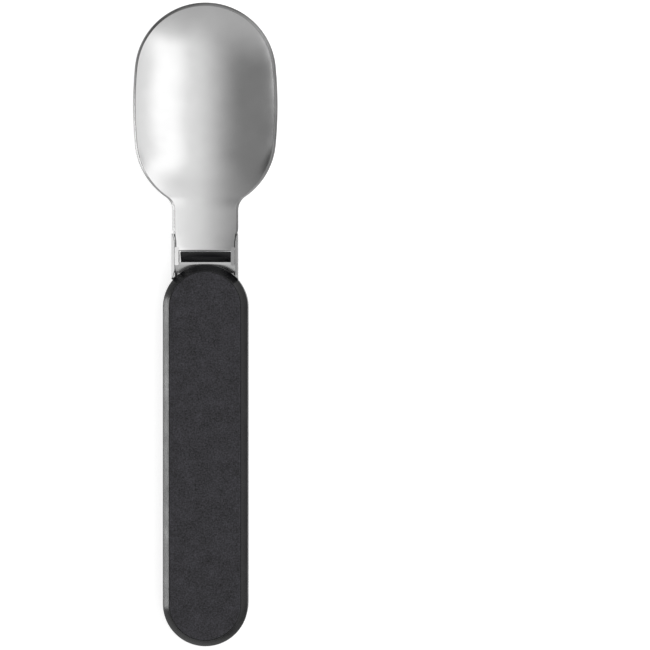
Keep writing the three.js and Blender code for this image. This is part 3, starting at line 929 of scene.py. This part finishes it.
def handle_screw(name):
    """A pan-head screw with a cross recess in its flat underside."""
    y = screw_y(name)
    profile = rounded_path([
        (screw_high.x * ROUND_CAP_SHARE, screw_low.z, 0),
        (screw_high.x, screw_low.z, SCREW_HEAD_EDGE),
        (screw_high.x, screw_shoulder, 0),
        (SCREW_RADIUS, screw_shoulder, 0),
        (SCREW_RADIUS, screw_high.z, SCREW_TIP_EDGE),
        (SCREW_RADIUS * ROUND_CAP_SHARE, screw_high.z, 0),
    ])
    piece = turned(name + "_headed", profile, upright(0, y))
    half = SCREW_SLOT_WIDTH / 2
    arm = SCREW_SLOT_LENGTH / 2
    bottom = screw_low.z - OVERCUT
    depth = screw_low.z + SCREW_SLOT_DEPTH
    for reach_x, reach_y in ((arm, half), (half, arm)):
        cut(piece, box("cross", (-reach_x, y - reach_y, bottom), (reach_x, y + reach_y, depth)))
    return shade(piece)


# Shader nodes

def add_node(tree, kind, **values):
    """A new node with the given settings: its own properties, or else the values of its inputs."""
    node = tree.nodes.new(kind)
    for key, value in values.items():
        if hasattr(node, key):
            setattr(node, key, value)
        else:
            node.inputs[key.replace("_", " ").title()].default_value = value
    return node


def feed(tree, value, socket):
    """Gives an input socket its value, from another socket or as a plain number."""
    if isinstance(value, bpy.types.NodeSocket):
        tree.links.new(value, socket)
    else:
        socket.default_value = value


def math_node(tree, operation, *values, clamp=False):
    """One sum of two or three values, each a socket or a number."""
    node = add_node(tree, "ShaderNodeMath", operation=operation, use_clamp=clamp)
    for place, value in enumerate(values):
        feed(tree, value, node.inputs[place])
    return node.outputs[0]


def map_range(tree, value, span, low, high, kind):
    """Goes from low to high while the value goes over the span. Each bound is a socket or a number."""
    node = add_node(tree, "ShaderNodeMapRange", interpolation_type=kind)
    names = ("Value", "From Min", "From Max", "To Min", "To Max")
    for name, bound in zip(names, (value, *span, low, high)):
        feed(tree, bound, node.inputs[name])
    return node.outputs["Result"]


def spread(tree, value, low, high):
    """Maps a noise value to a range."""
    return map_range(tree, value, NOISE_SPAN, low, high, "LINEAR")


def ramp(tree, value, span, low, high):
    """A soft change from low to high."""
    return map_range(tree, value, span, low, high, "SMOOTHSTEP")


def even(value):
    """The same value three times, for a grey or for a grain that is as long as it is wide and high."""
    return (value, value, value)


def noise(tree, grain, detail=NOISE_DETAIL, roughness=NOISE_ROUGHNESS):
    """Noise over object coordinates, with grains of the given size along x, y and z."""
    coords = add_node(tree, "ShaderNodeTexCoord")
    mapping = add_node(tree, "ShaderNodeMapping", Scale=[1 / size for size in grain])
    texture = add_node(tree, "ShaderNodeTexNoise", Scale=1.0, Detail=detail, Roughness=roughness)
    tree.links.new(coords.outputs["Object"], mapping.inputs["Vector"])
    tree.links.new(mapping.outputs["Vector"], texture.inputs["Vector"])
    return texture.outputs["Fac"]


def tint(tree, value, dark, light):
    """Blends two colours by a noise value."""
    blend = add_node(tree, "ShaderNodeValToRGB")
    for stop, position, colour in zip(blend.color_ramp.elements, NOISE_SPAN, (dark, light)):
        stop.position = position
        stop.color = (*colour, 1)
    tree.links.new(value, blend.inputs["Fac"])
    return blend.outputs["Color"]


def bump(tree, height, depth, under=None):
    """A relief of the given depth, on top of another one where that is given."""
    node = add_node(tree, "ShaderNodeBump", Strength=1.0, Distance=depth)
    tree.links.new(height, node.inputs["Height"])
    if under is not None:
        tree.links.new(under, node.inputs["Normal"])
    return node.outputs["Normal"]


# Materials

def new_material(name):
    """A node material, with its tree and the inputs of its principled shader."""
    material = bpy.data.materials.new(name)
    material.use_nodes = True
    tree = material.node_tree
    return material, tree, tree.nodes["Principled BSDF"].inputs


def steel(name, greys, roughness, line_depth, line_grain):
    """Stainless steel: fine polishing lines along one way, and cloudy changes of polish."""
    material, tree, inputs = new_material(name)
    clouds = noise(tree, even(CLOUD_GRAIN))
    lines = noise(tree, line_grain, roughness=GRAIN_ROUGHNESS)
    inputs["Metallic"].default_value = 1.0
    tree.links.new(tint(tree, clouds, *map(even, greys)), inputs["Base Color"])
    tree.links.new(spread(tree, clouds, *roughness), inputs["Roughness"])
    tree.links.new(bump(tree, lines, line_depth), inputs["Normal"])
    return material


def shell_plastic():
    """Smooth moulded black plastic with a faint ripple and uneven gloss."""
    material, tree, inputs = new_material("shell_black")
    ripple = noise(tree, even(SHELL_RIPPLE_GRAIN))
    haze = noise(tree, even(SHELL_HAZE_GRAIN), SHELL_HAZE_DETAIL)
    tree.links.new(tint(tree, haze, SHELL_DARK, SHELL_LIGHT), inputs["Base Color"])
    tree.links.new(spread(tree, haze, *SHELL_ROUGHNESS), inputs["Roughness"])
    tree.links.new(bump(tree, ripple, SHELL_RIPPLE_DEPTH), inputs["Normal"])
    return material


def grained_plastic():
    """Black plastic with a fine spark-eroded grain: small raised specks, paler here and there."""
    material, tree, inputs = new_material("grip_black")
    fine = noise(tree, even(GRIP_FINE_GRAIN), GRIP_DETAIL, GRAIN_ROUGHNESS)
    coarse = noise(tree, even(GRIP_COARSE_GRAIN), GRIP_DETAIL, GRAIN_ROUGHNESS)
    blotches = noise(tree, even(GRIP_BLOTCH_GRAIN), GRIP_DETAIL)
    specks = math_node(tree, "MULTIPLY", coarse, GRIP_COARSE_SHARE)
    paleness = math_node(tree, "MULTIPLY_ADD", blotches, GRIP_BLOTCH_SHARE, specks)
    tree.links.new(tint(tree, paleness, GRIP_DARK, GRIP_LIGHT), inputs["Base Color"])
    tree.links.new(spread(tree, fine, *GRIP_ROUGHNESS), inputs["Roughness"])
    inputs["Specular IOR Level"].default_value = GRIP_SPECULAR
    relief = bump(tree, coarse, GRIP_COARSE_DEPTH)
    tree.links.new(bump(tree, fine, GRIP_FINE_DEPTH, relief), inputs["Normal"])
    return material


def washer_plastic():
    """Pale low-friction plastic with a slight haze."""
    material, tree, inputs = new_material("washer_plastic")
    haze = noise(tree, even(WASHER_HAZE_GRAIN))
    tree.links.new(tint(tree, haze, WASHER_DARK, WASHER_LIGHT), inputs["Base Color"])
    tree.links.new(spread(tree, haze, *WASHER_ROUGHNESS), inputs["Roughness"])
    return material


def finish_piece(piece, material, body, node):
    """Gives a piece its material, unless it has its own already, and says what it rides on and replaces."""
    if not piece.data.materials:
        piece.data.materials.append(material)
    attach(piece, body)
    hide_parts(node)


def build_spoon():
    """Makes every material and piece. Polishing lines run along the spoon, and across on fasteners."""
    along_y = (LINE_WIDTH, LINE_LENGTH, LINE_WIDTH)
    along_x = (LINE_LENGTH, LINE_WIDTH, LINE_WIDTH)
    bowl_steel = steel("bowl_steel", BOWL_GREYS, BOWL_ROUGHNESS, BOWL_LINE_DEPTH, along_y)
    # The ground rim gets a darker copy of the bowl's steel: painted shade, not a different metal.
    rim_steel_painted_shade = steel("rim_steel_painted_shade", RIM_PAINTED_SHADE_GREYS, RIM_ROUGHNESS, LINE_DEPTH, along_y)
    hinge_steel = steel("hinge_steel", HINGE_GREYS, HINGE_ROUGHNESS, LINE_DEPTH, along_y)
    fastener_steel = steel("fastener_steel", FASTENER_GREYS, FASTENER_ROUGHNESS, LINE_DEPTH, along_x)
    shell_black = shell_plastic()
    finish_piece(spoon_bowl(bowl_steel, rim_steel_painted_shade), bowl_steel, "bowl", "spoon_bowl")
    finish_piece(hinge_yoke(), hinge_steel, "handle", "hinge_yoke")
    washer = washer_plastic()
    for side_name, side in sides.items():
        name = f"pivot_rivet_{side_name}"
        finish_piece(pivot_rivet(name, side), fastener_steel, "handle", name)
        name = f"friction_washer_{side_name}"
        finish_piece(friction_washer(name, side), washer, "handle", name)
    finish_piece(handle_base(), shell_black, "handle", "handle_base")
    finish_piece(handle_cover(), shell_black, "handle", "handle_cover")
    finish_piece(grip_panel(), grained_plastic(), "handle", "grip_panel")
    for name in screw_names:
        finish_piece(handle_screw(name), fastener_steel, "handle", name)


# Studio

def add_camera():
    """Straight above, at the distance that shows the handle's right side as the photo does."""
    data = bpy.data.cameras.new("camera")
    data.sensor_width = CAMERA_SENSOR
    seen = PHOTO_PIXELS * PIXEL_SIZE
    data.lens = data.sensor_width * (CAMERA_HEIGHT - PHOTO_PLANE) / seen
    data.clip_start = CAMERA_NEAR
    data.clip_end = CAMERA_FAR
    camera = add_object("camera", data)
    camera.location = (CAMERA_X, CAMERA_Y, CAMERA_HEIGHT)
    bpy.context.scene.camera = camera


def add_floor():
    """A pale floor that shows white, and keeps the object's shadow."""
    corners = [(-1, -1), (1, -1), (1, 1), (-1, 1)]
    mesh = bpy.data.meshes.new("floor")
    mesh.from_pydata([(x * FLOOR_HALF, y * FLOOR_HALF, 0) for x, y in corners], [], [(0, 1, 2, 3)])
    floor = add_object("floor", mesh)
    material = bpy.data.materials.new("floor_white")
    material.use_nodes = True
    tree = material.node_tree
    tree.nodes.clear()
    paths = add_node(tree, "ShaderNodeLightPath")
    rays = [paths.outputs[f"Is {kind} Ray"] for kind in ("Camera", "Glossy", "Transmission")]
    seen = math_node(tree, "ADD", rays[0], rays[1], clamp=True)
    seen_all = math_node(tree, "ADD", seen, rays[2], clamp=True)
    glow = add_node(tree, "ShaderNodeEmission")
    paper = add_node(tree, "ShaderNodeBsdfDiffuse", Color=(*FLOOR_COLOUR, 1))
    total = add_node(tree, "ShaderNodeAddShader")
    output = add_node(tree, "ShaderNodeOutputMaterial")
    tree.links.new(math_node(tree, "MULTIPLY", seen_all, FLOOR_GLOW), glow.inputs["Strength"])
    tree.links.new(glow.outputs[0], total.inputs[0])
    tree.links.new(paper.outputs[0], total.inputs[1])
    tree.links.new(total.outputs[0], output.inputs["Surface"])
    mesh.materials.append(material)


def add_studio():
    """A soft studio: dim on the left, a broad light on the right, dark low down and most so at the ends."""
    world = bpy.data.worlds.new("studio")
    bpy.context.scene.world = world
    world.use_nodes = True
    tree = world.node_tree
    background = tree.nodes["Background"]
    coords = add_node(tree, "ShaderNodeTexCoord")
    split = add_node(tree, "ShaderNodeSeparateXYZ")
    tree.links.new(coords.outputs["Generated"], split.inputs[0])
    x, y, z = split.outputs

    lift_near = ramp(tree, y, LIFT_ALONG, LIFT_LEVEL, 0)
    lift_left = ramp(tree, x, LIFT_ACROSS, 1, 0)
    lift = math_node(tree, "MULTIPLY", lift_near, lift_left)
    across = math_node(tree, "ADD", ramp(tree, x, ROOM_ACROSS, ROOM_LEFT, ROOM_RIGHT), lift)
    room = ramp(tree, y, ROOM_ALONG, ROOM_NEAR, across)

    panel_start = ramp(tree, x, PANEL_LEFT, 0, PANEL_LEVEL)
    panel_end = ramp(tree, x, PANEL_RIGHT, 1, 0)
    panel_width = math_node(tree, "MULTIPLY", panel_start, panel_end)
    panel_near = ramp(tree, y, PANEL_NEAR, 0, 1)
    panel_far = ramp(tree, y, PANEL_FAR, 1, 0)
    panel_length = math_node(tree, "MULTIPLY", panel_near, panel_far)
    light_panel = math_node(tree, "MULTIPLY", panel_width, panel_length)

    y_squared = math_node(tree, "MULTIPLY", y, y)
    x_squared = math_node(tree, "MULTIPLY", x, x)
    lengthwise = math_node(tree, "SUBTRACT", y_squared, x_squared)
    dark_span = []
    for at_sides, at_near, at_far in zip(DARK_SIDES, DARK_NEAR_END, DARK_FAR_END):
        at_ends = ramp(tree, y, DARK_ALONG, at_near, at_far)
        dark_span.append(ramp(tree, lengthwise, DARK_LENGTHWISE, at_sides, at_ends))
    dark = ramp(tree, z, dark_span, DARK_LEVEL, 1)

    total = math_node(tree, "MULTIPLY", math_node(tree, "ADD", room, light_panel), dark)
    tree.links.new(total, background.inputs["Strength"])
    background.inputs["Color"].default_value = WHITE


def add_strip_light():
    """A low strip light on the left, for the bright bevel along that side."""
    data = bpy.data.lights.new("strip_light", "AREA")
    data.shape = "RECTANGLE"
    data.size = STRIP_LENGTH
    data.size_y = STRIP_HEIGHT
    data.energy = STRIP_RADIANCE * math.pi * STRIP_LENGTH * STRIP_HEIGHT
    lamp = add_object("strip_light", data)
    lamp.location = (-STRIP_DISTANCE, STRIP_Y, STRIP_LEVEL)
    lamp.rotation_euler = (QUARTER_TURN, 0, -QUARTER_TURN)
    lamp.visible_camera = False


add_camera()
add_floor()
add_studio()
add_strip_light()
build_spoon()
bpy.context.scene.view_settings.view_transform = "Standard"
